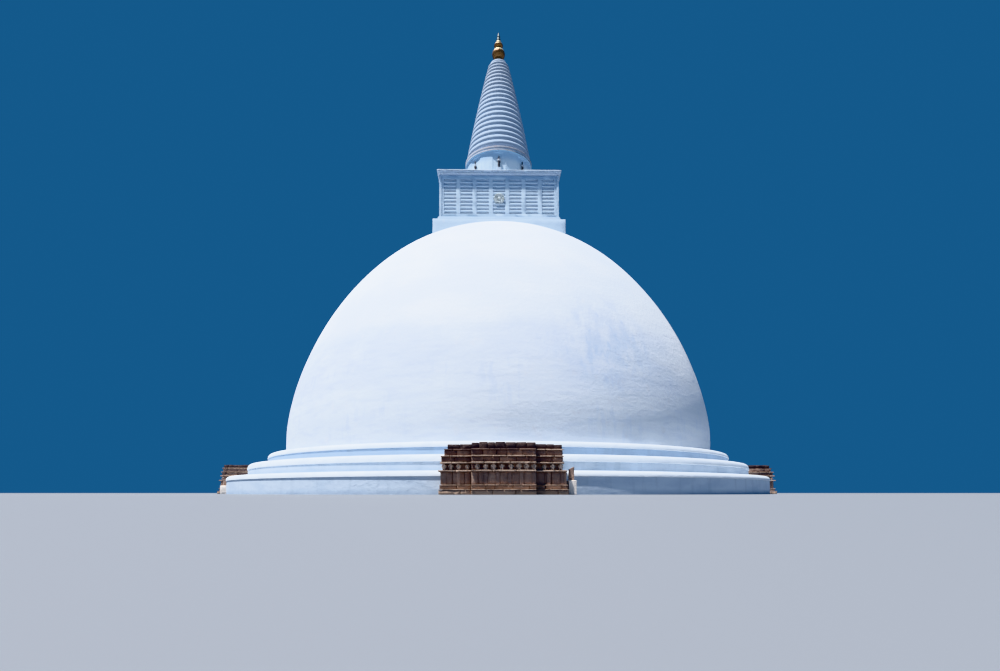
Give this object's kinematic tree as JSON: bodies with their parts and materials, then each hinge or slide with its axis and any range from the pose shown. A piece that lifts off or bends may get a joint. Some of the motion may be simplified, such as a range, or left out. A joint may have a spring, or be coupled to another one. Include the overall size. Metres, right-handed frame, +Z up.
{
  "type": "stupa, 1:2 scale model",
  "caption": "Whitewashed domed stupa on stepped round base rings, with a square railed chamber, statue drum, ringed spire, gilded finial and carved stone frontispieces.",
  "frame": {"origin": "on the ground under the middle of the dome", "axes": "+Z up along the spire, -Y towards the front frontispiece"},
  "size_m": [28.95, 28.95, 25.81],
  "materials": {
    "whitewash": "matt lime wash on plaster, faintly stained",
    "shaded_plaster": "matt grey-white plaster",
    "old_gilt": "worn gilding",
    "dark_stone": "weathered dark granite and limestone blocks",
    "pale_stone": "weathered pale stone, worn at its edges",
    "figure_stone": "weathered carved stone"
  },
  "bodies": {
    "root": {"base_ring_lower": "whitewash", "base_ring_middle": "whitewash", "base_ring_upper": "whitewash", "dome": "whitewash", "chamber_plinth": "whitewash", "chamber_base_moulding": "whitewash", "chamber_body": "shaded_plaster", "chamber_cornice": "whitewash", "chamber_roof_slab": "shaded_plaster", "railing_front": "whitewash", "railing_right": "whitewash", "railing_back": "whitewash", "railing_left": "whitewash", "sun_disc_front": "pale_stone", "sun_disc_right": "pale_stone", "sun_disc_back": "pale_stone", "sun_disc_left": "pale_stone", "statue_drum": "whitewash", "guardian_statue_1": "figure_stone", "guardian_statue_2": "figure_stone", "guardian_statue_3": "figure_stone", "guardian_statue_4": "figure_stone", "guardian_statue_5": "figure_stone", "guardian_statue_6": "figure_stone", "guardian_statue_7": "figure_stone", "guardian_statue_8": "figure_stone", "spire_flange": "shaded_plaster", "ringed_spire": "whitewash", "finial_lower_bulb": "old_gilt", "finial_upper_bulb": "old_gilt", "finial_tip": "old_gilt", "frontispiece_wall_front": "dark_stone", "frontispiece_frieze_front": "pale_stone", "frontispiece_top_front": "dark_stone", "stele_front": "dark_stone", "frontispiece_wall_right": "dark_stone", "frontispiece_frieze_right": "pale_stone", "frontispiece_top_right": "dark_stone", "stele_right": "dark_stone", "frontispiece_wall_back": "dark_stone", "frontispiece_frieze_back": "pale_stone", "frontispiece_top_back": "dark_stone", "stele_back": "dark_stone", "frontispiece_wall_left": "dark_stone", "frontispiece_frieze_left": "pale_stone", "frontispiece_top_left": "dark_stone", "stele_left": "dark_stone"}
  },
  "joints": []
}
